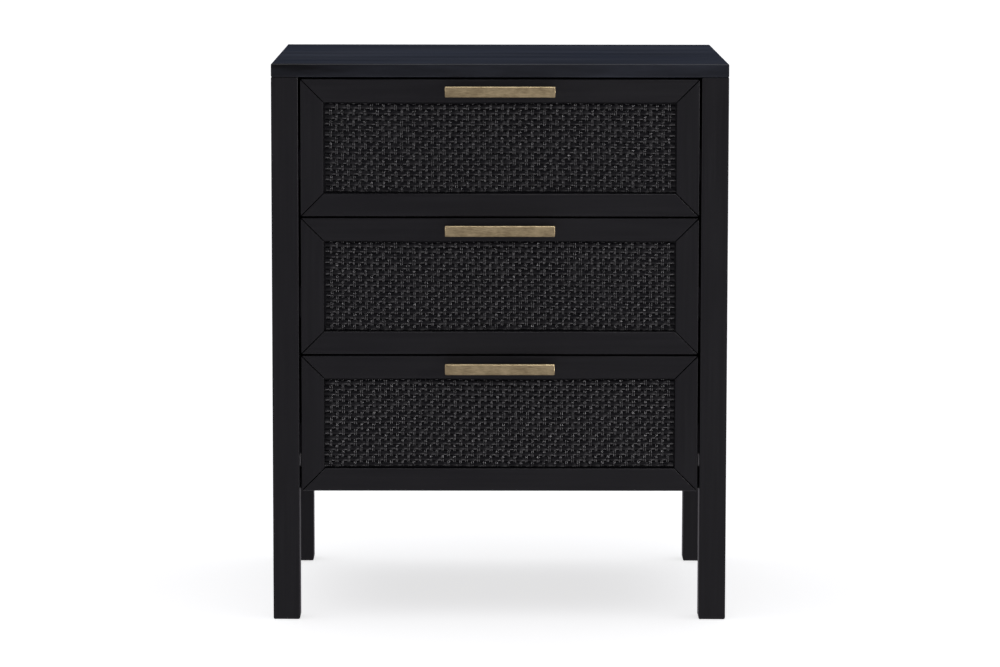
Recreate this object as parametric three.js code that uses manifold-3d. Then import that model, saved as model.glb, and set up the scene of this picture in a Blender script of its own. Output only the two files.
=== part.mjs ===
// A nightstand with three inset drawers: square legs, a thin flush top, and drawer fronts
// that are mitred frames around a woven panel, each with a slim bar pull.
// Millimetres, +Z up. The front faces -Y, and the origin is on the floor under the middle
// of the whole object's box, pulls included.
import * as THREE from 'three';
import { mergeVertices } from 'three/addons/utils/BufferGeometryUtils.js';
import Module from 'manifold-3d';

// ---- Driving dimensions -------------------------------------------------------------
const WIDTH = 500;
const DEPTH = 400; // front face of the legs to back face of the legs, without the pulls
const HEIGHT = 615;
const TOP_THICKNESS = 15;
const TOP_EASE = 1; // chamfer along the top's edges
const LEG = 29.5; // side of the square leg
const LEG_FOOT_EASE = 2; // chamfer round the lower end of a leg
const LEG_TOP_EASE = 0.8; // chamfer round the upper end, a fine line under the top
const UNDERSIDE = 144; // floor to the lower edge of the lowest drawer front
const LEVELS = ['lower', 'middle', 'upper']; // the drawers, from the floor up

const FRONT_REVEAL = 2; // gap over each drawer front
const SIDE_REVEAL = 2.5; // gap between a drawer front and a leg
const FRONT_THICKNESS = 16;
const FRAME_WIDTH = 25; // width of the mitred frame members
const FRAME_LIP = 3; // front lip that the woven panel lies against
const REBATE_WIDTH = 8; // how far the panel reaches behind the lip
const WOVEN_THICKNESS = 5; // strands and the board they are bonded to

const PANEL_THICKNESS = 12; // side panels and back panel
const SIDE_RECESS = 3; // side panels behind the legs' outer faces
const BACK_RECESS = 6; // back panel in front of the legs' back faces
const RAIL_HEIGHT = 24;
const RAIL_CLEARANCE = 1; // between the front bottom rail and a closed drawer front

const BOX_WALL = 12;
const BOX_BOTTOM = 5; // thickness of a drawer's bottom board
const BOX_BOTTOM_RISE = 10; // bottom board above the lower edge of the box
const BOX_LOWER_CLEARANCE = 6; // between the rail and the lowest box
const BOX_UPPER_DROP = 20; // upper edge of a box below the upper edge of its front
const BOX_BACK_CLEARANCE = 16; // between a closed box and the back panel
const GROOVE_DEPTH = 6;
const GROOVE_PLAY = 0.4;

const SLIDE_SPACE = 12.7; // between the carcass and a box, filled by one slide
const SLIDE_HEIGHT = 35;
const SLIDE_RISE = 8; // slide above the lower edge of the box
const SLIDE_METAL = 1.2;
const SLIDE_FLANGE = 9; // depth of the outer member's channel
const SLIDE_LIP = 5; // height of the outer member's curled lip
const SLIDE_INNER_HEIGHT = 20;
const SLIDE_INNER_FLANGE = 8;
const SLIDE_SETBACK = 2; // slide's front end behind the drawer front
const BATTEN_HEIGHT = 45;

const PULL_LENGTH = 120;
const PULL_HEIGHT = 11.5;
const PULL_BAR = 7; // depth of the bar
const PULL_PROJECTION = 22; // face of the bar to face of the drawer front
const PULL_EASE = 0.6; // chamfer round the bar's front face
const POST_SPACING = 96;
const POST_DIAMETER = 6;
const POST_SIDES = 24;

const GLUE_LINE = 0.2; // between pieces that are glued or screwed together
const THROUGH = 1; // how far a cutting block runs past what it cuts

// ---- Sizes that follow --------------------------------------------------------------
const LEG_HEIGHT = HEIGHT - TOP_THICKNESS;
const OPENING = WIDTH - 2 * LEG; // between the legs
const BETWEEN_LEGS = DEPTH - 2 * LEG; // front leg to back leg
const FRONT_PITCH = (LEG_HEIGHT - UNDERSIDE) / LEVELS.length;
const FRONT_HEIGHT = FRONT_PITCH - FRONT_REVEAL;
const FRONT_WIDTH = OPENING - 2 * SIDE_REVEAL;
const BOX_RISE = RAIL_HEIGHT + BOX_LOWER_CLEARANCE;
const BOX_HEIGHT = FRONT_HEIGHT - BOX_RISE - BOX_UPPER_DROP;
const BOX_WIDTH = OPENING - 2 * SLIDE_SPACE;
const BOX_END = DEPTH - BACK_RECESS - PANEL_THICKNESS - BOX_BACK_CLEARANCE;
const BOX_START = FRONT_THICKNESS + GLUE_LINE;
const BOX_INSIDE_START = BOX_START + BOX_WALL + GLUE_LINE;
const BOX_INSIDE_END = BOX_END - BOX_WALL;
const BOX_INSIDE_HALF = BOX_WIDTH / 2 - BOX_WALL;
const SLIDE_START = FRONT_THICKNESS + SLIDE_SETBACK;
const BATTEN_THICKNESS = LEG - SIDE_RECESS - PANEL_THICKNESS - GLUE_LINE;

const SIDES = { left: -1, right: 1 };

// ---- Finishes -----------------------------------------------------------------------
const finish = (color, roughness, metalness = 0) =>
  new THREE.MeshStandardMaterial({ color, roughness, metalness });
const FINISHES = {
  top: finish(0x2b2f3a, 0.45),
  lacquer: finish(0x201f22, 0.55),
  weave: finish(0x242327, 0.5),
  box: finish(0x2a2826, 0.7),
  brass: finish(0x86785f, 0.4, 1),
  steel: finish(0x8c8f92, 0.35, 1),
};

// ---- Solids -------------------------------------------------------------------------
const wasm = await Module();
wasm.setup();

function toSolid(geometry) {
  const bare = geometry.clone();
  bare.deleteAttribute('normal');
  bare.deleteAttribute('uv');
  const merged = mergeVertices(bare);
  return new wasm.Manifold(new wasm.Mesh({
    numProp: 3,
    vertProperties: merged.attributes.position.array,
    triVerts: new Uint32Array(merged.index.array),
  }));
}

function toGeometry(solid) {
  const mesh = solid.getMesh();
  const geometry = new THREE.BufferGeometry();
  geometry.setAttribute('position', new THREE.BufferAttribute(mesh.vertProperties, 3));
  geometry.setIndex(new THREE.BufferAttribute(mesh.triVerts, 1));
  const faceted = geometry.toNonIndexed();
  faceted.computeVertexNormals();
  return faceted;
}

const joined = (first, ...others) =>
  toGeometry(others.reduce((solid, other) => solid.add(toSolid(other)), toSolid(first)));
const cut = (first, ...others) =>
  toGeometry(others.reduce((solid, other) => solid.subtract(toSolid(other)), toSolid(first)));
const common = (first, second) => toGeometry(toSolid(first).intersect(toSolid(second)));

// A rectangular block between two values of X, of Y and of Z.
function block([x0, x1], [y0, y1], [z0, z1]) {
  const box = new THREE.BoxGeometry(x1 - x0, y1 - y0, z1 - z0);
  return box.translate((x0 + x1) / 2, (y0 + y1) / 2, (z0 + z1) / 2);
}

// A span of the given length about zero.
const about = (length) => [-length / 2, length / 2];

function outline(points) {
  return new THREE.Shape(points.map(([u, v]) => new THREE.Vector2(u, v)));
}

// An outline in X and Z, extruded backwards along Y from y0 to y1.
function extrudeBack(points, [y0, y1]) {
  const solid = new THREE.ExtrudeGeometry(outline(points), { depth: y1 - y0, bevelEnabled: false });
  return solid.rotateX(Math.PI / 2).translate(0, y1, 0);
}

// An upright block with both ends chamfered all round.
function easedBlock(width, depth, [z0, z1], ease) {
  const [u, v] = [width / 2 - ease, depth / 2 - ease];
  const core = outline([[-u, -v], [u, -v], [u, v], [-u, v]]);
  const solid = new THREE.ExtrudeGeometry(core, {
    depth: z1 - z0 - 2 * ease,
    bevelThickness: ease,
    bevelSize: ease,
    bevelSegments: 1,
  });
  return solid.translate(0, 0, z0 + ease);
}

function piece(name, geometry, material) {
  const mesh = new THREE.Mesh(geometry, material);
  mesh.name = name;
  return mesh;
}

// ---- Carcass ------------------------------------------------------------------------
// Carcass and drawers are drawn with Y from the legs' front face backwards.
function topPanel() {
  const slab = easedBlock(WIDTH, DEPTH, [LEG_HEIGHT + GLUE_LINE, HEIGHT], TOP_EASE);
  return piece('top_panel', slab.translate(0, DEPTH / 2, 0), FINISHES.top);
}

// A square post is a four-sided lathe body, so its profile holds the corner radius.
function leg(name, x, y) {
  const corner = (ease) => (LEG / 2 - ease) * Math.SQRT2;
  const profile = outline([[0, 0], [corner(LEG_FOOT_EASE), 0], [corner(0), LEG_FOOT_EASE],
    [corner(0), LEG_HEIGHT - LEG_TOP_EASE], [corner(LEG_TOP_EASE), LEG_HEIGHT], [0, LEG_HEIGHT]]);
  const post = new THREE.LatheGeometry(profile.getPoints(), 4).rotateX(Math.PI / 2).rotateZ(Math.PI / 4);
  const mesh = piece(name, post, FINISHES.lacquer);
  mesh.position.set(x, y, 0);
  return mesh;
}

function legs() {
  const rows = { front: LEG / 2, back: DEPTH - LEG / 2 };
  return Object.entries(rows).flatMap(([row, y]) =>
    Object.entries(SIDES).map(([side, sign]) =>
      leg(`${row}_leg_${side}`, sign * (WIDTH - LEG) / 2, y)));
}

function sidePanel(side, sign) {
  const middle = sign * (WIDTH / 2 - SIDE_RECESS - PANEL_THICKNESS / 2);
  return piece(`side_panel_${side}`,
    block([middle - PANEL_THICKNESS / 2, middle + PANEL_THICKNESS / 2],
      [LEG + GLUE_LINE, DEPTH - LEG - GLUE_LINE], [UNDERSIDE, LEG_HEIGHT]),
    FINISHES.lacquer);
}

function backPanel() {
  const back = DEPTH - BACK_RECESS;
  const panel = block(about(OPENING - 2 * GLUE_LINE), [back - PANEL_THICKNESS, back],
    [UNDERSIDE, LEG_HEIGHT]);
  return piece('back_panel', panel, FINISHES.lacquer);
}

function frontRail() {
  const rail = block(about(OPENING - 2 * GLUE_LINE), [FRONT_THICKNESS + RAIL_CLEARANCE, LEG],
    [UNDERSIDE, UNDERSIDE + RAIL_HEIGHT]);
  return piece('front_bottom_rail', rail, FINISHES.lacquer);
}

// The batten fills the space between the side panel and the plane of the legs' inner faces.
function batten(level, side, sign) {
  const strip = new THREE.BoxGeometry(BATTEN_THICKNESS, BETWEEN_LEGS - 2 * GLUE_LINE, BATTEN_HEIGHT);
  const mesh = piece(`${level}_slide_batten_${side}`, strip, FINISHES.box);
  mesh.position.set(sign * (OPENING + BATTEN_THICKNESS) / 2, DEPTH / 2, slideMiddle());
  return mesh;
}

// ---- Slides -------------------------------------------------------------------------
// Heights are from the lower edge of a drawer front.
function slideMiddle() {
  return BOX_RISE + SLIDE_RISE + SLIDE_HEIGHT / 2;
}

// A lipped channel: u runs from the carcass towards the box, v up from the middle.
function outerChannel() {
  const half = SLIDE_HEIGHT / 2;
  const inside = half - SLIDE_METAL;
  const lip = half - SLIDE_LIP;
  const edge = SLIDE_FLANGE - SLIDE_METAL;
  return [[GLUE_LINE, -half], [SLIDE_FLANGE, -half], [SLIDE_FLANGE, -lip], [edge, -lip],
    [edge, -inside], [SLIDE_METAL, -inside], [SLIDE_METAL, inside], [edge, inside],
    [edge, lip], [SLIDE_FLANGE, lip], [SLIDE_FLANGE, half], [GLUE_LINE, half]];
}

// A plain channel on the box, opening towards the carcass and running inside the outer one.
function innerChannel() {
  const half = SLIDE_INNER_HEIGHT / 2;
  const inside = half - SLIDE_METAL;
  const seat = SLIDE_SPACE - GLUE_LINE;
  const web = seat - SLIDE_METAL;
  const edge = seat - SLIDE_INNER_FLANGE;
  return [[seat, -half], [seat, half], [edge, half], [edge, inside],
    [web, inside], [web, -inside], [edge, -inside], [edge, -half]];
}

function slideMember(name, channel, sign) {
  const points = channel.map(([u, v]) => [sign * (OPENING / 2 - u), v]);
  const ordered = sign > 0 ? points.reverse() : points;
  const member = piece(name, extrudeBack(ordered, [SLIDE_START, BOX_END]), FINISHES.steel);
  member.position.z = slideMiddle();
  return member;
}

// ---- Drawer fronts ------------------------------------------------------------------
// One frame member along X: a rebated strip with both ends mitred, outer edge at z = 0.
function frameMember(length) {
  const strip = cut(
    block(about(length), [0, FRONT_THICKNESS], [0, FRAME_WIDTH]),
    block(about(length + 2 * THROUGH), [FRAME_LIP, FRONT_THICKNESS + THROUGH],
      [FRAME_WIDTH - REBATE_WIDTH, FRAME_WIDTH + THROUGH]));
  const half = length / 2 - GLUE_LINE;
  const mitred = extrudeBack([[-half, 0], [half, 0], [half - FRAME_WIDTH, FRAME_WIDTH],
    [FRAME_WIDTH - half, FRAME_WIDTH]], [-THROUGH, FRONT_THICKNESS + THROUGH]);
  return common(strip, mitred);
}

// The four members stand round the middle of the front, each turned to face it.
function frontFrame(level) {
  const members = {
    bottom_rail: [FRONT_WIDTH, FRONT_HEIGHT, 0],
    right_stile: [FRONT_HEIGHT, FRONT_WIDTH, 1],
    top_rail: [FRONT_WIDTH, FRONT_HEIGHT, 2],
    left_stile: [FRONT_HEIGHT, FRONT_WIDTH, 3],
  };
  const frame = new THREE.Group();
  frame.position.z = FRONT_HEIGHT / 2;
  for (const [name, [length, across, quarter]] of Object.entries(members)) {
    const member = frameMember(length).translate(0, 0, -across / 2).rotateY(-quarter * Math.PI / 2);
    frame.add(piece(`${level}_front_${name}`, member, FINISHES.lacquer));
  }
  return frame;
}

function wovenPanel(level) {
  const seat = REBATE_WIDTH - FRAME_WIDTH - GLUE_LINE;
  const panel = block(about(FRONT_WIDTH + 2 * seat), [FRAME_LIP + GLUE_LINE, FRAME_LIP + WOVEN_THICKNESS],
    [-seat, FRONT_HEIGHT + seat]);
  return piece(`${level}_woven_panel`, panel, FINISHES.weave);
}

function pull(level) {
  const bar = easedBlock(PULL_LENGTH, PULL_HEIGHT, [-PULL_PROJECTION, PULL_BAR - PULL_PROJECTION], PULL_EASE);
  const reach = PULL_PROJECTION - PULL_BAR / 2 - GLUE_LINE;
  const posts = [-1, 1].map((sign) =>
    new THREE.CylinderGeometry(POST_DIAMETER / 2, POST_DIAMETER / 2, reach, POST_SIDES)
      .translate(sign * POST_SPACING / 2, -reach / 2 - GLUE_LINE, 0));
  const mesh = piece(`${level}_pull`, joined(bar.rotateX(-Math.PI / 2), ...posts), FINISHES.brass);
  mesh.position.z = FRONT_HEIGHT - FRAME_WIDTH / 2;
  return mesh;
}

// ---- Drawer boxes -------------------------------------------------------------------
function drawerBox(level) {
  const heights = [BOX_RISE, BOX_RISE + BOX_HEIGHT];
  const bottomStart = BOX_RISE + BOX_BOTTOM_RISE;
  const groove = block(
    about(2 * (BOX_INSIDE_HALF + GROOVE_DEPTH)),
    [BOX_INSIDE_START - GROOVE_DEPTH, BOX_INSIDE_END + GROOVE_DEPTH],
    [bottomStart - GROOVE_PLAY / 2, bottomStart + BOX_BOTTOM + GROOVE_PLAY / 2]);
  const bottomReach = GROOVE_DEPTH - GROOVE_PLAY;
  const side = [BOX_INSIDE_HALF, BOX_WIDTH / 2];
  const sideLength = [BOX_INSIDE_START, BOX_END];
  const between = about(2 * (BOX_INSIDE_HALF - GLUE_LINE));
  const boards = {
    front: cut(block(about(BOX_WIDTH), [BOX_START, BOX_START + BOX_WALL], heights), groove),
    left: cut(block(side.map((x) => -x).reverse(), sideLength, heights), groove),
    right: cut(block(side, sideLength, heights), groove),
    back: cut(block(between, [BOX_INSIDE_END, BOX_END], heights), groove),
    bottom: block(
      about(2 * (BOX_INSIDE_HALF + bottomReach)),
      [BOX_INSIDE_START - bottomReach, BOX_INSIDE_END + bottomReach],
      [bottomStart, bottomStart + BOX_BOTTOM]),
  };
  return Object.entries(boards).map(([name, board]) =>
    piece(`${level}_box_${name}`, board, FINISHES.box));
}

// ---- Assembly -----------------------------------------------------------------------
function drawer(level) {
  const group = new THREE.Group();
  group.add(frontFrame(level), wovenPanel(level), pull(level), ...drawerBox(level));
  for (const [side, sign] of Object.entries(SIDES)) {
    group.add(slideMember(`${level}_slide_inner_${side}`, innerChannel(), sign));
  }
  return group;
}

// What one drawer needs in the carcass: a batten and an outer slide member on each side.
function drawerSupport(level) {
  const group = new THREE.Group();
  for (const [side, sign] of Object.entries(SIDES)) {
    group.add(batten(level, side, sign));
    group.add(slideMember(`${level}_slide_outer_${side}`, outerChannel(), sign));
  }
  return group;
}

const nightstand = new THREE.Group();
nightstand.position.y = (PULL_PROJECTION - DEPTH) / 2;
nightstand.add(topPanel(), ...legs(), backPanel(), frontRail());
for (const [side, sign] of Object.entries(SIDES)) nightstand.add(sidePanel(side, sign));
LEVELS.forEach((level, index) => {
  for (const group of [drawerSupport(level), drawer(level)]) {
    group.position.z = UNDERSIDE + index * FRONT_PITCH;
    nightstand.add(group);
  }
});

export default nightstand;
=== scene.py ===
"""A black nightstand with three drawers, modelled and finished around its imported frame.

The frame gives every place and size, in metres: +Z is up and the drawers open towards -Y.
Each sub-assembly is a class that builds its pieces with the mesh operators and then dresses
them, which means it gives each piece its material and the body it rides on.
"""

import logging
import math
from contextlib import contextmanager
from dataclasses import dataclass, field
from enum import Enum
from typing import Any, Callable, Iterator, Sequence

import bmesh
import bpy
import numpy as np
from mathutils import Euler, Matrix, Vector


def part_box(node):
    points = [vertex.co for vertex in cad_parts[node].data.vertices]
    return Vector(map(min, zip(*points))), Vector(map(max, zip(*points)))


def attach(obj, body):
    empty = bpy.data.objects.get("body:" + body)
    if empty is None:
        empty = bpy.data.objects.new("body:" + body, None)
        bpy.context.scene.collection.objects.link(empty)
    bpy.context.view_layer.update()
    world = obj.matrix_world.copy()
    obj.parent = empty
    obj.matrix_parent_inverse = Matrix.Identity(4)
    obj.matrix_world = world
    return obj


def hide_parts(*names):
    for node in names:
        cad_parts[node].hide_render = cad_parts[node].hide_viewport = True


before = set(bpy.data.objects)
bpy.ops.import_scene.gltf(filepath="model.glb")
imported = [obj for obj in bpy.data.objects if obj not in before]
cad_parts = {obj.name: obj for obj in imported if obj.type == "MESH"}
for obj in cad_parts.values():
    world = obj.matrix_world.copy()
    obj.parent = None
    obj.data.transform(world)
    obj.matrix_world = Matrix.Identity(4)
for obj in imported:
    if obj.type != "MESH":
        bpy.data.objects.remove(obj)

LOG = logging.getLogger("nightstand")
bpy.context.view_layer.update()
MM = 0.001
SMOOTH_ANGLE = math.radians(40)
TOUCH = 1e-6

X_AXIS = Vector((1, 0, 0))
Y_AXIS = Vector((0, 1, 0))
Z_AXIS = Vector((0, 0, 1))

Colour = tuple[float, float, float]
Piece = bpy.types.Object


class Side(Enum):
    """The two sides of the nightstand, as the sign of X."""

    LEFT = -1
    RIGHT = 1

    @property
    def label(self) -> str:
        """The word that node names use for this side."""
        return self.name.lower()


class Level(Enum):
    """The three drawers, from the floor up, with the number that seeds each one's weave."""

    LOWER = 11
    MIDDLE = 23
    UPPER = 37

    @property
    def label(self) -> str:
        """The word that node names use for this drawer."""
        return self.name.lower()

    @property
    def body(self) -> str:
        """The body that everything on this drawer rides on."""
        return f"{self.label}_drawer"


class Grain(Enum):
    """The axis that wood grain, or a brushed finish, runs along."""

    ALONG_X = 0
    ALONG_Y = 1
    ALONG_Z = 2

    def stretch(self, along: float, across: float) -> Vector:
        """How much faster a pattern changes across the grain than along it.

        Args:
            along: Pattern frequency along the grain, per metre.
            across: Pattern frequency across the grain, per metre.

        Returns:
            The scale to give to a mapping node.
        """
        scale = Vector((across, across, across))
        scale[self.value] = along
        return scale


# ---- Materials ----------------------------------------------------------------------


class NodeTree:
    """A node tree that is put together one node at a time."""

    def __init__(self, tree: bpy.types.NodeTree) -> None:
        """Starts on a material's or a world's tree."""
        self.nodes = tree.nodes
        self.links = tree.links

    def put(self, socket: bpy.types.NodeSocket, value: Any) -> None:
        """Links a socket to another node's output, or sets its number or colour."""
        if isinstance(value, bpy.types.NodeSocket):
            self.links.new(value, socket)
        elif isinstance(value, tuple) and socket.type == "RGBA":
            socket.default_value = (*value, 1.0)
        else:
            socket.default_value = value

    def node(self, kind: str, inputs: dict[str | int, Any], **settings: Any) -> bpy.types.Node:
        """Adds one node.

        Args:
            kind: The node's type, without its ShaderNode prefix.
            inputs: Values or outputs for its input sockets, by name or number.
            settings: Values for the node's own properties.

        Returns:
            The new node.
        """
        made = self.nodes.new("ShaderNode" + kind)
        for key, value in settings.items():
            setattr(made, key, value)
        for key, value in inputs.items():
            self.put(made.inputs[key], value)
        return made

    def spread(self, value: Any, start: Sequence[float], end: Sequence[float], smooth: bool = False) -> Any:
        """Maps a value from the range start to the range end, and holds it there."""
        ranged = self.node("MapRange", {"Value": value, "From Min": start[0], "From Max": start[1],
                                        "To Min": end[0], "To Max": end[1]},
                           interpolation_type="SMOOTHSTEP" if smooth else "LINEAR")
        return ranged.outputs["Result"]

    def mix(self, factor: Any, first: Any, second: Any, blend: str = "MIX") -> bpy.types.NodeSocket:
        """Mixes two colours by a factor."""
        mixed = self.node("Mix", {0: factor, 6: first, 7: second}, data_type="RGBA", blend_type=blend)
        return mixed.outputs[2]

    def math(self, operation: str, first: Any, second: Any) -> bpy.types.NodeSocket:
        """Joins two values by one arithmetic operation."""
        return self.node("Math", {0: first, 1: second}, operation=operation).outputs["Value"]


class NodeMaterial(NodeTree):
    """A material with a principled shader, patterned in the object's own coordinates."""

    def __init__(self, name: str) -> None:
        """Starts the material."""
        self.material = bpy.data.materials.new(name)
        self.material.use_nodes = True
        super().__init__(self.material.node_tree)
        self.shader = self.nodes["Principled BSDF"]
        self.place = self.node("TexCoord", {}).outputs["Object"]

    def shade(self, **inputs: Any) -> None:
        """Sets inputs of the principled shader; an underscore stands for a space."""
        for key, value in inputs.items():
            self.put(self.shader.inputs[key.replace("_", " ")], value)

    def noise(self, scale: Sequence[float], detail: float = 3,
              roughness: float = 0.55) -> bpy.types.NodeSocket:
        """Noise from 0 to 1 whose frequency per metre is given for each axis."""
        mapping = self.node("Mapping", {"Vector": self.place, "Scale": Vector(scale)})
        texture = self.node("TexNoise", {
            "Vector": mapping.outputs["Vector"], "Scale": 1.0, "Detail": detail, "Roughness": roughness})
        return texture.outputs["Fac"]

    def bump(self, height: Any, distance: float, below: Any = None) -> bpy.types.NodeSocket:
        """Turns a height from 0 to 1 into a surface relief of that depth in metres."""
        inputs = {"Height": height, "Distance": distance, "Strength": 1.0}
        if below is not None:
            inputs["Normal"] = below
        return self.node("Bump", inputs).outputs["Normal"]


@dataclass(frozen=True)
class Lacquer:
    """Satin lacquer sprayed over wood, with the grain showing faintly through it. Where the streak colour is
    bright and bluish, as on the top, the streaks also paint a sheen of reflected room light.
    """

    name: str
    colour: Colour
    streak: Colour
    grain: Grain
    roughness: float = 0.42
    roughness_play: float = 0.15
    gloss: float = 0.25
    streak_amount: float = 0.35
    streak_scale: tuple[float, float] = (9, 420)
    pore_depth: float = 0.02 * MM
    peel_depth: float = 0.012 * MM

    def make(self) -> bpy.types.Material:
        """Builds the material."""
        tree = NodeMaterial(self.name)
        streaks = tree.noise(self.grain.stretch(*self.streak_scale), detail=5, roughness=0.6)
        pores = tree.noise(self.grain.stretch(45, 1700), detail=2)
        clouds = tree.noise((7, 7, 7), detail=2)
        peel = tree.noise((420, 420, 420), detail=1)
        # This mask lays the streak colour over the grain. On the top it also places the painted bluish sheen
        # that this colour carries.
        shown = tree.spread(streaks, (0.40, 0.65), (0.0, self.streak_amount))
        worn = tree.math("ADD", tree.math("MULTIPLY", clouds, 0.4), tree.math("MULTIPLY", streaks, 0.6))
        smoothest = self.roughness - self.roughness_play / 2
        tree.shade(
            Base_Color=tree.mix(shown, self.colour, self.streak),
            Roughness=tree.spread(worn, (0.3, 0.7), (smoothest, smoothest + self.roughness_play)),
            Specular_IOR_Level=self.gloss,
            Normal=tree.bump(peel, self.peel_depth, tree.bump(pores, self.pore_depth)))
        return tree.material


@dataclass(frozen=True)
class StainedBoard:
    """Dark stained board with an open grain, as drawer boxes are made of."""

    name: str
    colour: Colour
    grain_colour: Colour
    grain: Grain
    roughness: float = 0.55

    def make(self) -> bpy.types.Material:
        """Builds the material."""
        tree = NodeMaterial(self.name)
        figure = tree.noise(self.grain.stretch(4, 95), detail=6, roughness=0.65)
        pores = tree.noise(self.grain.stretch(60, 1500), detail=3)
        figured = tree.mix(tree.spread(figure, (0.35, 0.7), (0, 1)), self.colour, self.grain_colour)
        dark_pores = tree.spread(pores, (0.3, 0.5), (0.45, 1.0))
        tree.shade(
            Base_Color=tree.mix(1.0, figured, dark_pores, blend="MULTIPLY"),
            Roughness=tree.spread(pores, (0.3, 0.7), (self.roughness + 0.12, self.roughness)),
            Specular_IOR_Level=0.3,
            Normal=tree.bump(pores, 0.05 * MM))
        return tree.material


@dataclass(frozen=True)
class Strand:
    """Black plaited strand with a slight gloss and fine fibres along it."""

    name: str
    colour: Colour
    fibre_colour: Colour
    grain: Grain
    gloss: float
    roughness: float = 0.25

    def make(self) -> bpy.types.Material:
        """Builds the material."""
        tree = NodeMaterial(self.name)
        fibres = tree.noise(self.grain.stretch(150, 4200), detail=3)
        patches = tree.noise((170, 170, 170), detail=3)
        worn = tree.spread(patches, (0.45, 0.75), (0, 0.8))
        dull = tree.math("ADD", tree.math("MULTIPLY", fibres, 0.3), tree.math("MULTIPLY", patches, 0.7))
        tree.shade(
            Base_Color=tree.mix(worn, self.colour, self.fibre_colour),
            Roughness=tree.spread(dull, (0.38, 0.62), (self.roughness - 0.13, self.roughness + 0.19)),
            Specular_IOR_Level=self.gloss,
            Normal=tree.bump(fibres, 0.06 * MM))
        return tree.material


@dataclass(frozen=True)
class AgedBrass:
    """Brass brushed along its length and left to darken in patches."""

    name: str
    colour: Colour
    patina: Colour
    grain: Grain
    roughness: float = 0.4

    def make(self) -> bpy.types.Material:
        """Builds the material."""
        tree = NodeMaterial(self.name)
        brushing = tree.noise(self.grain.stretch(70, 3000), detail=4, roughness=0.7)
        scratches = tree.noise(self.grain.stretch(130, 900), detail=3, roughness=0.7)
        patches = tree.noise((60, 90, 90), detail=3)
        marks = tree.math("ADD", tree.math("MULTIPLY", patches, 0.6), tree.math("MULTIPLY", scratches, 0.7))
        aged = tree.spread(marks, (0.53, 0.78), (0, 0.7))
        lined = tree.mix(tree.spread(brushing, (0.35, 0.65), (0, 0.5)), self.colour, self.patina)
        tree.shade(
            Base_Color=tree.mix(aged, lined, self.patina),
            Metallic=1.0,
            Roughness=tree.spread(brushing, (0.3, 0.7), (self.roughness - 0.06, self.roughness + 0.12)),
            Normal=tree.bump(brushing, 0.035 * MM))
        return tree.material


@dataclass(frozen=True)
class PlatedSteel:
    """Dark plated sheet steel with a faint spangle and rolling lines."""

    name: str
    colour: Colour
    shadow: Colour
    grain: Grain
    roughness: float = 0.34

    def make(self) -> bpy.types.Material:
        """Builds the material."""
        tree = NodeMaterial(self.name)
        rolling = tree.noise(self.grain.stretch(25, 3000), detail=3)
        cells = tree.node("TexVoronoi", {"Vector": tree.place, "Scale": 240.0})
        spangle = tree.spread(cells.outputs["Distance"], (0, 0.9), (0, 0.5))
        tree.shade(
            Base_Color=tree.mix(spangle, self.colour, self.shadow),
            Metallic=1.0,
            Roughness=tree.spread(rolling, (0.3, 0.7), (self.roughness - 0.08, self.roughness + 0.1)),
            Normal=tree.bump(rolling, 0.02 * MM))
        return tree.material


@dataclass(frozen=True)
class StudioFloor:
    """Smooth pale floor, lit from within as a light table is, with the slightest mottle."""

    name: str
    colour: Colour
    glow: float

    def make(self) -> bpy.types.Material:
        """Builds the material."""
        tree = NodeMaterial(self.name)
        mottle = tree.noise((3, 3, 3), detail=2)
        shade = tuple(0.98 * part for part in self.colour)
        tree.shade(
            Base_Color=tree.mix(tree.spread(mottle, (0.4, 0.6), (0, 1)), self.colour, shade),
            Roughness=0.8,
            Specular_IOR_Level=0.0,
            Emission_Color=(1.0, 1.0, 1.0),
            Emission_Strength=self.glow)
        return tree.material


BLACK: Colour = (0.0080, 0.0075, 0.0096)
BLACK_STREAK: Colour = (0.0124, 0.0117, 0.0148)
STAIN: Colour = (0.022, 0.019, 0.017)
STAIN_GRAIN: Colour = (0.040, 0.033, 0.028)


@dataclass(frozen=True)
class Finishes:
    """Every material of the nightstand, made once."""

    # The top's colours are bluish, and its streaks far brighter than the other lacquer's. This is partly the
    # grain and partly a painted blue sheen standing in for the room reflected at a grazing view.
    top: Any = Lacquer("top_lacquer", (0.0012, 0.0014, 0.0022), (0.038, 0.044, 0.063), Grain.ALONG_X,
                       roughness=0.4, roughness_play=0.22, gloss=0.3,
                       streak_amount=0.9, streak_scale=(1.8, 13))
    upright: Any = Lacquer("upright_lacquer", BLACK, BLACK_STREAK, Grain.ALONG_Z)
    level: Any = Lacquer("level_lacquer", BLACK, BLACK_STREAK, Grain.ALONG_X)
    box_x: Any = StainedBoard("box_board_across", STAIN, STAIN_GRAIN, Grain.ALONG_X)
    box_y: Any = StainedBoard("box_board_along", STAIN, STAIN_GRAIN, Grain.ALONG_Y)
    weft: Any = Strand("weft_strand", (0.0048, 0.0045, 0.0058), (0.0095, 0.009, 0.011),
                       Grain.ALONG_X, gloss=0.22)
    warp: Any = Strand("warp_strand", (0.0055, 0.0052, 0.0066), (0.014, 0.0135, 0.016),
                       Grain.ALONG_Z, gloss=0.4)
    brass: Any = AgedBrass("aged_brass", (0.68, 0.56, 0.33), (0.25, 0.19, 0.105), Grain.ALONG_X)
    steel: Any = PlatedSteel("plated_steel", (0.050, 0.050, 0.054), (0.030, 0.030, 0.033), Grain.ALONG_Y)
    made: dict[str, bpy.types.Material] = field(default_factory=dict)

    def get(self, name: str) -> bpy.types.Material:
        """The named finish's material, made on first use."""
        if name not in self.made:
            self.made[name] = getattr(self, name).make()
        return self.made[name]


class Cards(Enum):
    """The studio's bright lights, by where they are, each with the collection of what it lights."""

    SIDES = "lit_from_the_sides"
    ABOVE = "lit_from_above"
    BELOW = "lit_from_below"


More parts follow.
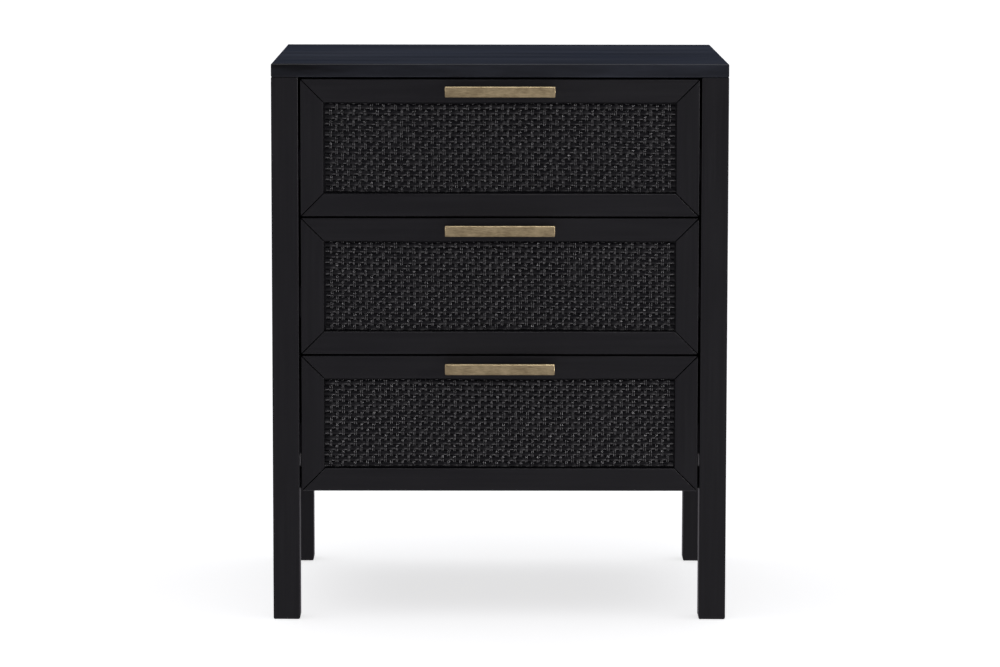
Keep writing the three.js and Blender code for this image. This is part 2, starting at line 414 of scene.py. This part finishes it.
FINISHES = Finishes()
RECEIVERS = {card: bpy.data.collections.new(card.value) for card in Cards}
EDGE_CARDS = (Cards.SIDES, Cards.ABOVE)
STRAND_CARDS = (Cards.SIDES, Cards.BELOW)


# ---- Modelling by operator ----------------------------------------------------------


def take(piece: Piece) -> None:
    """Selects one object alone and makes it the active one."""
    bpy.ops.object.select_all(action="DESELECT")
    piece.select_set(True)
    bpy.context.view_layer.objects.active = piece


def settle(piece: Piece) -> None:
    """Moves an object's place, turn and size into its mesh."""
    take(piece)
    bpy.ops.object.transform_apply(location=True, rotation=True, scale=True)


@contextmanager
def editing(piece: Piece, mode: str = "EDGE") -> Iterator[bmesh.types.BMesh]:
    """Edit mode on one object with nothing selected.

    Args:
        piece: The object to edit.
        mode: What is selected, VERT, EDGE or FACE.

    Yields:
        The mesh being edited.
    """
    take(piece)
    bpy.ops.object.mode_set(mode="EDIT")
    bpy.ops.mesh.select_mode(type=mode)
    bpy.ops.mesh.select_all(action="DESELECT")
    yield bmesh.from_edit_mesh(piece.data)
    bpy.ops.object.mode_set(mode="OBJECT")


def pick_edges(piece: Piece, wanted: Callable[[Vector, Vector], bool]) -> None:
    """In edit mode, selects the edges whose two ends pass a test."""
    mesh = bmesh.from_edit_mesh(piece.data)
    for edge in mesh.edges:
        edge.select_set(wanted(edge.verts[0].co, edge.verts[1].co))
    bmesh.update_edit_mesh(piece.data)


def pick_faces(piece: Piece, wanted: Callable[[Vector, Vector], bool]) -> None:
    """In edit mode, selects the faces whose centre and normal pass a test."""
    mesh = bmesh.from_edit_mesh(piece.data)
    for face in mesh.faces:
        face.select_set(wanted(face.calc_center_median(), face.normal))
    bmesh.update_edit_mesh(piece.data)


def extrude(shift: Sequence[float]) -> None:
    """In edit mode, extrudes what is selected by a shift in metres."""
    bpy.ops.mesh.extrude_region_move(TRANSFORM_OT_translate={"value": tuple(shift)})


def slice_through(piece: Piece, point: Sequence[float], normal: Sequence[float], remove: bool) -> None:
    """Cuts a mesh by a plane.

    Args:
        piece: The object to cut.
        point: A point of the plane.
        normal: The plane's normal.
        remove: Whether what lies beyond the plane, on its normal's side, is taken away.
    """
    with editing(piece):
        bpy.ops.mesh.select_all(action="SELECT")
        bpy.ops.mesh.bisect(
            plane_co=tuple(point), plane_no=tuple(normal), use_fill=remove, clear_outer=remove)


def apply_modifier(piece: Piece, kind: str, **settings: Any) -> None:
    """Adds one modifier to an object and applies it at once."""
    take(piece)
    modifier = piece.modifiers.new(kind.lower(), kind)
    for key, value in settings.items():
        setattr(modifier, key, value)
    bpy.ops.object.modifier_apply(modifier=modifier.name)


def block(name: str, low: Vector, high: Vector) -> Piece:
    """A plain block between two corners, to be shaped further."""
    bpy.ops.object.select_all(action="DESELECT")
    bpy.ops.mesh.primitive_cube_add(size=1, location=(low + high) / 2, scale=high - low)
    piece = bpy.context.object
    piece.name = name
    settle(piece)
    return piece


def ease(piece: Piece, width: float, segments: int = 2) -> None:
    """Rounds every sharp edge of a piece."""
    apply_modifier(piece, "BEVEL", width=width, segments=segments, limit_method="ANGLE",
                   angle_limit=math.radians(30), harden_normals=False)


def polish(piece: Piece) -> None:
    """Turns the faces outwards and shades them evenly."""
    with editing(piece, "FACE"):
        bpy.ops.mesh.select_all(action="SELECT")
        bpy.ops.mesh.normals_make_consistent(inside=False)
    take(piece)
    bpy.ops.object.shade_smooth_by_angle(angle=SMOOTH_ANGLE)
    apply_modifier(piece, "WEIGHTED_NORMAL", keep_sharp=True)


def board(name: str, low: Vector, high: Vector, edge: float) -> Piece:
    """A board with eased edges between two corners."""
    piece = block(name, low, high)
    ease(piece, edge)
    polish(piece)
    return piece


def turned(name: str, start: Vector, axis: Vector, profile: Sequence[tuple[float, float]],
           sides: int) -> Piece:
    """A solid of revolution, made by extruding and scaling a circle along its axis.

    Args:
        name: The piece's name.
        start: Where the profile's zero lies.
        axis: The direction that the profile runs in.
        profile: Distances along the axis and the radius at each.
        sides: How many sides the circle has.

    Returns:
        The closed solid.
    """
    reach, radius = profile[0]
    turn = Z_AXIS.rotation_difference(axis).to_euler()
    bpy.ops.object.select_all(action="DESELECT")
    bpy.ops.mesh.primitive_circle_add(
        vertices=sides, radius=radius, fill_type="NGON", location=start + axis * reach, rotation=turn)
    piece = bpy.context.object
    piece.name = name
    settle(piece)
    with editing(piece, "FACE"):
        bpy.ops.mesh.select_all(action="SELECT")
        for next_reach, next_radius in profile[1:]:
            extrude(axis * (next_reach - reach))
            ratio = next_radius / radius
            bpy.ops.transform.resize(value=(ratio, ratio, ratio), center_override=start + axis * next_reach)
            reach, radius = next_reach, next_radius
    return piece


def screw_head(name: str, seat: Vector, axis: Vector, radius: float) -> Piece:
    """The domed head of a screw, with a round socket, standing on its seat."""
    steps = ((0, 1), (0.22, 1), (0.36, 0.86), (0.46, 0.6), (0.46, 0.42), (0.2, 0.38))
    profile = [(reach * radius, width * radius) for reach, width in steps]
    piece = turned(name, seat, axis, profile, 24)
    polish(piece)
    return piece


def copy_of(piece: Piece, name: str, shift: Vector) -> Piece:
    """A copy with its own mesh, moved by a shift."""
    made = piece.copy()
    made.data = piece.data.copy()
    made.name = name
    bpy.context.scene.collection.objects.link(made)
    made.location = shift
    settle(made)
    return made


def join(name: str, pieces: Sequence[Piece]) -> Piece:
    """Joins several objects into one."""
    take(pieces[0])
    for piece in pieces:
        piece.select_set(True)
    bpy.ops.object.join()
    pieces[0].name = name
    return pieces[0]


def dress(
    piece: Piece, finish: str, body: str, nodes: Sequence[str] = (),
    cards: Sequence[Cards] = (),
) -> Piece:
    """Finishes a piece and ties it to the frame.

    Args:
        piece: The finished model.
        finish: Its material, by its name in the finishes.
        body: The body that it rides on.
        nodes: The nodes that it stands for, which are hidden.
        cards: The bright lights that show in it.

    Returns:
        The piece.
    """
    piece.data.materials.clear()
    piece.data.materials.append(FINISHES.get(finish))
    for card in cards:
        RECEIVERS[card].objects.link(piece)
    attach(piece, body)
    if nodes:
        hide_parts(*nodes)
    LOG.info("%s rides on %s", piece.name, body)
    return piece


# ---- Case ---------------------------------------------------------------------------

CASE = "cabinet"


@dataclass
class TopPanel:
    """The thin top, flush with the legs, with softly rounded edges."""

    edge: float = 1.4 * MM

    def build(self) -> Piece:
        """Models the slab."""
        piece = block("top_slab", *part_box("top_panel"))
        ease(piece, self.edge, segments=3)
        polish(piece)
        return piece

    def dress(self) -> None:
        """Builds and finishes the top."""
        dress(self.build(), "top", CASE, ["top_panel"], [Cards.ABOVE])


@dataclass
class Legs:
    """Four square legs with rounded arrises and an eased foot."""

    arris: float = 1.0 * MM
    foot_edge: float = 2.2 * MM
    head_edge: float = 0.7 * MM

    def build(self, node: str) -> Piece:
        """Models one leg in place of its node."""
        low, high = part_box(node)
        piece = block(node.replace("_leg", "_post"), low, high)
        rings = ((low.z, self.foot_edge, 3), (high.z, self.head_edge, 2))
        with editing(piece):
            pick_edges(piece, lambda a, b: abs(a.z - b.z) > TOUCH)
            bpy.ops.mesh.bevel(offset=self.arris, segments=3)
            for height, width, segments in rings:
                bpy.ops.mesh.select_all(action="DESELECT")
                pick_edges(piece, lambda a, b, h=height: abs(a.z - h) < TOUCH and abs(b.z - h) < TOUCH)
                bpy.ops.mesh.bevel(offset=width, segments=segments)
        polish(piece)
        return piece

    def dress(self) -> None:
        """Builds and finishes all four legs."""
        for row in ("front", "back"):
            for side in Side:
                node = f"{row}_leg_{side.label}"
                dress(self.build(node), "upright", CASE, [node], EDGE_CARDS)


@dataclass
class CasePanels:
    """Side panels, back panel and the rail under the lowest drawer."""

    edge: float = 0.6 * MM

    def dress(self) -> None:
        """Builds and finishes the case's boards."""
        finishes = {
            "side_panel_left": "upright",
            "side_panel_right": "upright",
            "back_panel": "upright",
            "front_bottom_rail": "level",
        }
        for node, finish in finishes.items():
            piece = board(f"{node}_board", *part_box(node), self.edge)
            dress(piece, finish, CASE, [node])


# ---- Slides -------------------------------------------------------------------------


def channel(name: str, low: Vector, high: Vector, web: Side, metal: float, lip: float, bend: float) -> Piece:
    """A channel folded from sheet steel, running along Y.

    Args:
        name: The piece's name.
        low: Lowest corner of the space it fills.
        high: Highest corner of that space.
        web: The side of that space that its web stands on.
        metal: Thickness of the sheet.
        lip: Height of the flanges' turned-in lips, or 0 for none.
        bend: Radius of the folds, at the middle of the sheet.

    Returns:
        The finished channel.
    """
    half = metal / 2
    inner, outer = (low.x + half, high.x - half)
    web_x, open_x = (outer, inner) if web is Side.RIGHT else (inner, outer)
    bottom, top = (low.z + half, high.z - half)
    points = [(open_x, bottom), (web_x, bottom), (web_x, top), (open_x, top)]
    if lip:
        points = [(open_x, low.z + lip), *points, (open_x, high.z - lip)]
    corners = [Vector((x, low.y, z)) for x, z in points]
    bpy.ops.object.select_all(action="DESELECT")
    bpy.ops.mesh.primitive_plane_add(size=1)
    piece = bpy.context.object
    piece.name = name
    run = Vector((0, high.y - low.y, 0))
    start = [corners[0], corners[1], corners[0] + run, corners[1] + run]
    for vertex, corner in zip(piece.data.vertices, start):
        vertex.co = corner
    for here, there in zip(corners[1:], corners[2:]):
        with editing(piece):
            pick_edges(piece, lambda a, b, c=here: all(
                abs(v.x - c.x) < TOUCH and abs(v.z - c.z) < TOUCH for v in (a, b)))
            extrude(there - here)
    with editing(piece):
        pick_edges(piece, lambda a, b: abs(a.y - b.y) > TOUCH and any(
            abs(a.x - c.x) < TOUCH and abs(a.z - c.z) < TOUCH for c in corners[1:-1]))
        bpy.ops.mesh.bevel(offset=bend, segments=3)
    apply_modifier(piece, "SOLIDIFY", thickness=metal, offset=0)
    polish(piece)
    return piece


@dataclass
class Slides:
    """The pair of two-member slides that carries one drawer, and the battens behind them."""

    level: Level
    metal: float = 1.2 * MM
    lip: float = 5 * MM
    bend: float = 1.3 * MM
    batten_edge: float = 1.0 * MM
    screw_radius: float = 3.4 * MM
    screw_places: tuple[float, ...] = (0.1, 0.5, 0.88)

    def screws(self, node: str, web: Side, body: str) -> None:
        """Drives three screws through a channel's web, seen from its open side."""
        low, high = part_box(node)
        web_x = high.x - self.metal if web is Side.RIGHT else low.x + self.metal
        length = high.y - low.y
        seat = Vector((web_x, low.y + self.screw_places[0] * length, (low.z + high.z) / 2))
        first = screw_head(f"{node}_screws", seat, X_AXIS * -web.value, self.screw_radius)
        copies = [copy_of(first, f"{node}_screw", Y_AXIS * (place - self.screw_places[0]) * length)
                  for place in self.screw_places[1:]]
        dress(join(f"{node}_screws", [first, *copies]), "steel", body)

    def dress(self) -> None:
        """Builds and finishes both slides of this drawer."""
        for side in Side:
            opposite = Side(-side.value)
            batten = f"{self.level.label}_slide_batten_{side.label}"
            strip = board(f"{batten}_strip", *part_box(batten), self.batten_edge)
            dress(strip, "box_y", CASE, [batten])
            outer = f"{self.level.label}_slide_outer_{side.label}"
            member = channel(f"{outer}_channel", *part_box(outer), side, self.metal, self.lip, self.bend)
            dress(member, "steel", CASE, [outer])
            inner = f"{self.level.label}_slide_inner_{side.label}"
            member = channel(f"{inner}_channel", *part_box(inner), opposite, self.metal, 0, self.bend)
            dress(member, "steel", self.level.body, [inner])
            self.screws(outer, side, CASE)
            self.screws(inner, opposite, self.level.body)


# ---- Drawers ------------------------------------------------------------------------


@dataclass
class FrontFrame:
    """The mitred frame of one drawer front, rebated behind for the woven panel."""

    level: Level
    lip: float = 3 * MM
    rebate: float = 8 * MM
    width: float = 25 * MM
    edge: float = 0.95 * MM
    mitre_gap: float = 0.3 * MM

    def member(self, part: str, inward: Vector) -> Piece:
        """Models one member of the frame.

        Args:
            part: The member's name within the frame.
            inward: The direction from the member's outer edge to the opening.

        Returns:
            The finished member.
        """
        node = f"{self.level.label}_front_{part}"
        low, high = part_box(node)
        centre = (low + high) / 2
        reach = abs((high - low).dot(inward)) / 2
        outer_edge = centre - inward * reach
        along = inward.cross(Y_AXIS)
        half = abs((high - low).dot(along)) / 2
        lip_high = Vector((high.x, low.y + self.lip, high.z))
        piece = block(f"{node}_member", low, lip_high)
        slice_through(piece, outer_edge + inward * (self.width - self.rebate), inward, remove=False)
        with editing(piece, "FACE"):
            pick_faces(piece, lambda at, normal: normal.y > 0.9
                       and (at - outer_edge).dot(inward) < self.width - self.rebate)
            extrude(Y_AXIS * (high.y - low.y - self.lip))
        for end in (-1, 1):
            corner = outer_edge + along * end * (half - self.mitre_gap)
            slice_through(piece, corner, along * end + inward, remove=True)
        ease(piece, self.edge)
        polish(piece)
        return piece

    def dress(self) -> None:
        """Builds and finishes the four members."""
        members = {"bottom_rail": Z_AXIS, "top_rail": -Z_AXIS, "left_stile": X_AXIS, "right_stile": -X_AXIS}
        for part, inward in members.items():
            node = f"{self.level.label}_front_{part}"
            finish = "level" if part.endswith("rail") else "upright"
            dress(self.member(part, inward), finish, self.level.body, [node], EDGE_CARDS)


def sway(far: np.ndarray, reach: float, bend: float, phase: float) -> np.ndarray:
    """A gentle wave in metres, from distances, a reach and a bend length in millimetres."""
    return MM * reach * np.sin(far / bend + phase)


@dataclass
class Weave:
    """Plain weave of flat wefts and twin-cord warps on a thin backing board.

    Each strand starts its lead, a number of crossings, before the first one that is kept.
    """

    level: Level
    column_pitch: float = 6.5 * MM
    row_pitch: float = 6.1 * MM
    inset: float = 9.2 * MM
    weft_width: float = 4.9 * MM
    weft_depth: float = 1.1 * MM
    weft_rise: float = 0.5 * MM
    cord_width: float = 1.5 * MM
    cord_depth: float = 1.3 * MM
    cord_rise: float = 0.9 * MM
    twin_gap: float = 1.75 * MM
    strands_depth: float = 3.4 * MM
    backing_edge: float = 0.3 * MM
    smooth_angle: float = math.radians(75)
    steps: int = 8
    weft_sides: int = 10
    cord_sides: int = 6
    weft_lead: int = 3
    cord_lead: int = 2

    def __post_init__(self) -> None:
        """Reads the panel's place and seeds its irregularities."""
        self.low, self.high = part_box(f"{self.level.label}_woven_panel")
        self.random = np.random.default_rng(self.level.value)
        self.phases = self.random.uniform(0, 2 * math.pi, 8)
        self.middle = self.low.y + self.strands_depth / 2

    def wave(self, length: float, pitch: float, rise: float, section: tuple[float, float],
             sides: int) -> Piece:
        """One strand along X that rises over and dips under at every pitch.

        Args:
            length: The least length of the strand.
            pitch: Distance from one crossing to the next.
            rise: How far its middle moves forwards and backwards.
            section: Width across and depth of the strand.
            sides: How many sides its section has.

        Returns:
            The strand, open at both ends, starting at X = 0 in front of its first crossing.
        """
        bpy.ops.object.select_all(action="DESELECT")
        bpy.ops.mesh.primitive_circle_add(vertices=sides, radius=0.5, fill_type="NOTHING",
                                          rotation=(0, math.pi / 2, 0), location=(0, -rise, 0))
        piece = bpy.context.object
        piece.scale = (section[0], section[1], 1)
        settle(piece)
        period = 2 * pitch
        with editing(piece):
            bpy.ops.mesh.select_all(action="SELECT")
            for step in range(self.steps):
                angles = [2 * math.pi * (step + more) / self.steps for more in (0, 1)]
                fall = rise * (math.cos(angles[0]) - math.cos(angles[1]))
                extrude((period / self.steps, fall, 0))
        apply_modifier(piece, "ARRAY", use_relative_offset=False, use_constant_offset=True,
                       constant_offset_displace=(period, 0, 0), count=math.ceil(length / period) + 1,
                       use_merge_vertices=True, merge_threshold=0.01 * MM)
        return piece

    def trimmed(self, strand: Piece, axis: Vector, span: tuple[float, float]) -> Piece:
        """Cuts a strand to a span along its axis and closes both its ends."""
        slice_through(strand, axis * span[0], -axis, remove=True)
        slice_through(strand, axis * span[1], axis, remove=True)
        return strand

    def loosen(self, piece: Piece, across: int, along: int) -> None:
        """Moves one strand slightly off its line, as hand weaving does."""
        count = len(piece.data.vertices)
        points = np.empty(count * 3, np.float32)
        piece.data.vertices.foreach_get("co", points)
        points = points.reshape(-1, 3)
        draw = self.random.uniform(0, 2 * math.pi, 3)
        far = points[:, along] / MM
        points[:, across] += sway(far, 0.22, 17, draw[0]) + sway(far, 0.12, 5.3, draw[1])
        points[:, 1] += sway(far, 0.07, 7.1, draw[2])
        x, z = points[:, 0] / MM, points[:, 2] / MM
        points[:, 0] += sway(x, 0.9, 23, self.phases[0]) + sway(z, 0.4, 21, self.phases[1])
        points[:, 2] += sway(x, 0.5, 41, self.phases[2]) + sway(z, 0.3, 9, self.phases[3])
        piece.data.vertices.foreach_set("co", points.ravel())
        piece.data.update()

    def strands(self, name: str, masters: Sequence[Piece], offsets: Sequence[Vector], across: int) -> Piece:
        """Copies the masters in turn to each offset, loosens each copy and joins them."""
        copies = []
        for index, shift in enumerate(offsets):
            strand = copy_of(masters[index % len(masters)], f"{name}_strand", shift)
            self.loosen(strand, across, 2 - across)
            copies.append(strand)
        for master in masters:
            bpy.data.objects.remove(master)
        piece = join(name, copies)
        with editing(piece, "FACE"):
            bpy.ops.mesh.select_all(action="SELECT")
            bpy.ops.mesh.normals_make_consistent(inside=False)
        take(piece)
        bpy.ops.object.shade_smooth_by_angle(angle=self.smooth_angle)
        return piece

    def columns(self, width: float) -> int:
        """The even number of upright strands that fits a width."""
        return 2 * int((width - 2 * self.twin_gap) / self.column_pitch / 2 + 0.5)

    def wefts(self) -> Piece:
        """Models the level strands."""
        left, right = self.low.x + self.inset, self.high.x - self.inset
        edge = self.inset + self.weft_width / 2
        bottom, top = self.low.z + edge, self.high.z - edge
        rows = int((top - bottom) / self.row_pitch) + 1
        margin = (right - left - (self.columns(right - left) - 1) * self.column_pitch) / 2
        masters = []
        for shift in (0, 1):
            strand = self.wave(right - left + 2 * self.column_pitch, self.column_pitch, self.weft_rise,
                               (self.weft_width, self.weft_depth), self.weft_sides)
            strand.location = (left + margin - (self.weft_lead + shift) * self.column_pitch, self.middle, 0)
            settle(strand)
            masters.append(self.trimmed(strand, X_AXIS, (left, right)))
        offsets = [Vector((0, 0, bottom + row * self.row_pitch)) for row in range(rows)]
        return self.strands(f"{self.level.label}_wefts", masters, offsets, across=2)

    def warps(self) -> Piece:
        """Models the upright twin cords."""
        left, right = self.low.x + self.inset, self.high.x - self.inset
        bottom, top = self.low.z + self.inset, self.high.z - self.inset
        columns = self.columns(right - left)
        margin = (right - left - (columns - 1) * self.column_pitch) / 2
        first_row = bottom + self.weft_width / 2
        masters = []
        for shift in (0, 1):
            strand = self.wave(top - bottom + 2 * self.row_pitch, self.row_pitch, self.cord_rise,
                               (self.cord_width, self.cord_depth), self.cord_sides)
            strand.rotation_euler = (0, -math.pi / 2, 0)
            strand.location = (0, self.middle, first_row - (self.cord_lead + shift) * self.row_pitch)
            settle(strand)
            masters.append(self.trimmed(strand, Z_AXIS, (bottom, top)))
        offsets = [Vector((left + margin + column * self.column_pitch + twin * self.twin_gap, 0, 0))
                   for twin in (-0.5, 0.5) for column in range(columns)]
        return self.strands(f"{self.level.label}_warps", masters, offsets, across=0)

    def backing(self) -> Piece:
        """Models the board behind the strands."""
        low = Vector((self.low.x, self.low.y + self.strands_depth, self.low.z))
        return board(f"{self.level.label}_weave_backing", low, self.high, self.backing_edge)

    def dress(self) -> None:
        """Builds and finishes the woven panel."""
        node = f"{self.level.label}_woven_panel"
        dress(self.backing(), "level", self.level.body, [node])
        dress(self.wefts(), "weft", self.level.body, [node], STRAND_CARDS)
        dress(self.warps(), "warp", self.level.body, [node], STRAND_CARDS)


@dataclass
class BarPull:
    """A flat bar with a fine bevel, on two turned posts."""

    level: Level
    bar_depth: float = 7 * MM
    bevel: float = 0.6 * MM
    post_spacing: float = 96 * MM
    post_radius: float = 2.8 * MM
    foot_radius: float = 3.0 * MM
    foot: float = 1.5 * MM
    sink: float = 0.5 * MM
    screw_radius: float = 4.0 * MM

    def dress(self) -> None:
        """Builds and finishes the pull."""
        node = f"{self.level.label}_pull"
        low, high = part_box(node)
        centre = (low + high) / 2
        bar = block(f"{node}_bar", low, Vector((high.x, low.y + self.bar_depth, high.z)))
        ease(bar, self.bevel, segments=1)
        polish(bar)
        dress(bar, "brass", self.level.body, [node], EDGE_CARDS)
        for side in Side:
            start = Vector((side.value * self.post_spacing / 2, high.y, centre.z))
            reach = high.y - low.y - self.bar_depth
            profile = [(0, self.foot_radius), (self.foot, self.foot_radius),
                       (self.foot * 1.4, self.post_radius), (reach, self.post_radius),
                       (reach + self.sink, self.post_radius)]
            post = turned(f"{node}_post_{side.label}", start, -Y_AXIS, profile, 32)
            polish(post)
            dress(post, "brass", self.level.body, cards=EDGE_CARDS)
            seat = Vector((start.x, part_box(f"{self.level.label}_front_top_rail")[1].y, centre.z))
            head = screw_head(f"{node}_screw_{side.label}", seat, Y_AXIS, self.screw_radius)
            dress(head, "steel", self.level.body)


@dataclass
class DrawerBox:
    """The plain box behind one drawer front."""

    level: Level
    edge: float = 0.8 * MM
    bottom_edge: float = 0.3 * MM
    rim: float = 2.4 * MM

    def wall(self, part: str) -> Piece:
        """Models one wall, with its upper edge rounded further than the others."""
        low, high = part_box(f"{self.level.label}_box_{part}")
        piece = block(f"{self.level.label}_box_{part}_board", low, high)
        with editing(piece):
            longer = 0 if high.x - low.x > high.y - low.y else 1
            pick_edges(piece, lambda a, b: min(a.z, b.z) > high.z - TOUCH
                       and abs(a[longer] - b[longer]) > TOUCH)
            bpy.ops.mesh.bevel(offset=self.rim, segments=4)
        ease(piece, self.edge)
        polish(piece)
        return piece

    def dress(self) -> None:
        """Builds and finishes the five boards."""
        grains = {"front": "box_x", "back": "box_x", "left": "box_y", "right": "box_y"}
        for part, finish in grains.items():
            node = f"{self.level.label}_box_{part}"
            dress(self.wall(part), finish, self.level.body, [node])
        node = f"{self.level.label}_box_bottom"
        bottom = board(f"{node}_board", *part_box(node), self.bottom_edge)
        dress(bottom, "box_x", self.level.body, [node])


# ---- Studio -------------------------------------------------------------------------


@dataclass
class Studio:
    """Pale floor, soft room light, reflector cards and the camera."""

    floor_size: float = 40.0
    floor_colour: Colour = (0.86, 0.86, 0.86)
    glow: float = 0.705
    middle: tuple[float, float, float] = (0, 0, 0.35)
    camera_place: tuple[float, float, float] = (-0.0164, -4.7637, 0.8790)
    pitch: float = math.radians(-6.979)
    yaw: float = math.radians(0.200)
    roll: float = math.radians(0.074)
    lens: float = 151.07
    sensor: float = 36.0
    glow_angle: float = math.radians(30)
    light_tint: Colour = (1.0, 0.965, 1.0)
    zenith: Colour = (0.78, 0.78, 0.79)
    front_wall: Colour = (0.128, 0.125, 0.156)
    back_wall: Colour = (0.041, 0.051, 0.085)
    side_walls: Colour = (0.36, 0.36, 0.38)
    far_floor: Colour = (0.075, 0.072, 0.086)
    near_floor: Colour = (0.60, 0.57, 0.61)

    def floor(self) -> None:
        """Lays the floor."""
        bpy.ops.object.select_all(action="DESELECT")
        bpy.ops.mesh.primitive_plane_add(size=self.floor_size)
        floor = bpy.context.object
        floor.name = "studio_floor"
        floor.data.materials.append(StudioFloor("studio_floor", self.floor_colour, self.glow).make())
        floor.visible_glossy = False

    def camera(self) -> None:
        """Sets up the camera."""
        bpy.ops.object.camera_add(location=self.camera_place)
        camera = bpy.context.object
        camera.name = "camera"
        camera.rotation_euler = Euler((math.pi / 2 + self.pitch, -self.roll, -self.yaw))
        camera.data.lens = self.lens
        camera.data.sensor_width = self.sensor
        camera.data.clip_end = 1.5 * self.floor_size
        bpy.context.scene.camera = camera

    def card(self, name: str, place: Sequence[float], size: tuple[float, float], radiance: float,
             kind: Cards) -> None:
        """Stands a bright card, facing the nightstand's middle, that shows only in its own pieces.

        Args:
            name: The card's name.
            place: Where its centre is.
            size: Its width and height.
            radiance: How bright its face is, where 1 looks white.
            kind: Which of the cards it is, as the pieces name them.
        """
        aim = (Vector(place) - Vector(self.middle)).to_track_quat("Z", "Y").to_euler()
        bpy.ops.object.light_add(type="AREA", location=place, rotation=aim)
        card = bpy.context.object
        card.name = name
        card.visible_diffuse = False
        card.visible_camera = False
        card.data.color = self.light_tint
        card.data.shape = "RECTANGLE"
        card.data.size, card.data.size_y = size
        card.data.energy = radiance * math.pi * size[0] * size[1]
        card.light_linking.receiver_collection = RECEIVERS[kind]

    def floor_glow(self, towards: Sequence[float], strength: float) -> None:
        """Lights the strands evenly from beneath, as a bright floor in front does.

        Args:
            towards: Direction the light travels in.
            strength: How strong it is.
        """
        aim = (-Vector(towards)).to_track_quat("Z", "Y").to_euler()
        bpy.ops.object.light_add(type="SUN", rotation=aim)
        glow = bpy.context.object
        glow.name = "floor_glow"
        glow.visible_diffuse = False
        glow.data.color = self.light_tint
        glow.data.angle = self.glow_angle
        glow.data.energy = strength
        glow.light_linking.receiver_collection = RECEIVERS[Cards.BELOW]
        glow.light_linking.blocker_collection = RECEIVERS[Cards.BELOW]

    def room(self) -> None:
        """Lights the room softly from above, and leaves it plain white behind the nightstand."""
        world = bpy.data.worlds.new("studio_room")
        bpy.context.scene.world = world
        world.use_nodes = True
        tree = NodeTree(world.node_tree)
        direction = tree.node("TexCoord", {}).outputs["Generated"]
        axes = tree.node("SeparateXYZ", {0: direction}).outputs
        ahead = tree.spread(axes["Y"], (0.35, -0.6), (0, 1), smooth=True)
        aside = tree.spread(tree.math("ABSOLUTE", axes["X"], 0.0), (0.75, 0.95), (0, 1), smooth=True)
        walls = tree.mix(aside, tree.mix(ahead, self.back_wall, self.front_wall), self.side_walls)
        above = tree.mix(tree.spread(axes["Z"], (0.55, 0.85), (0, 1), smooth=True), walls, self.zenith)
        ground = tree.mix(tree.spread(axes["Z"], (0.05, -0.35), (0, 1)), self.far_floor, self.near_floor)
        lit = tree.mix(tree.spread(axes["Z"], (0.02, -0.02), (0, 1)), above, ground)
        seen = tree.node("LightPath", {}).outputs["Is Camera Ray"]
        tree.put(tree.nodes["Background"].inputs["Color"], tree.mix(seen, lit, (1.0, 1.0, 1.0)))

    def build(self) -> None:
        """Builds the whole studio."""
        bpy.context.scene.view_settings.view_transform = "Standard"
        self.floor()
        self.camera()
        self.room()
        self.card("right_card", (3.0, -2.2, 1.3), (1.0, 0.9), 44.0, Cards.SIDES)
        self.card("left_card", (-3.2, -2.0, 1.3), (1.0, 0.9), 14.0, Cards.SIDES)
        self.card("top_card", (0.4, -1.4, 3.1), (2.4, 1.0), 5.0, Cards.ABOVE)
        self.floor_glow((-0.38, 0.62, 0.68), 2.1)


def main() -> None:
    """Builds the studio and every sub-assembly in order."""
    logging.basicConfig(level=logging.INFO, format="%(name)s: %(message)s")
    TopPanel().dress()
    Legs().dress()
    CasePanels().dress()
    for level in Level:
        Slides(level).dress()
        FrontFrame(level).dress()
        Weave(level).dress()
        BarPull(level).dress()
        DrawerBox(level).dress()
    Studio().build()


if __name__ == "__main__":
    main()
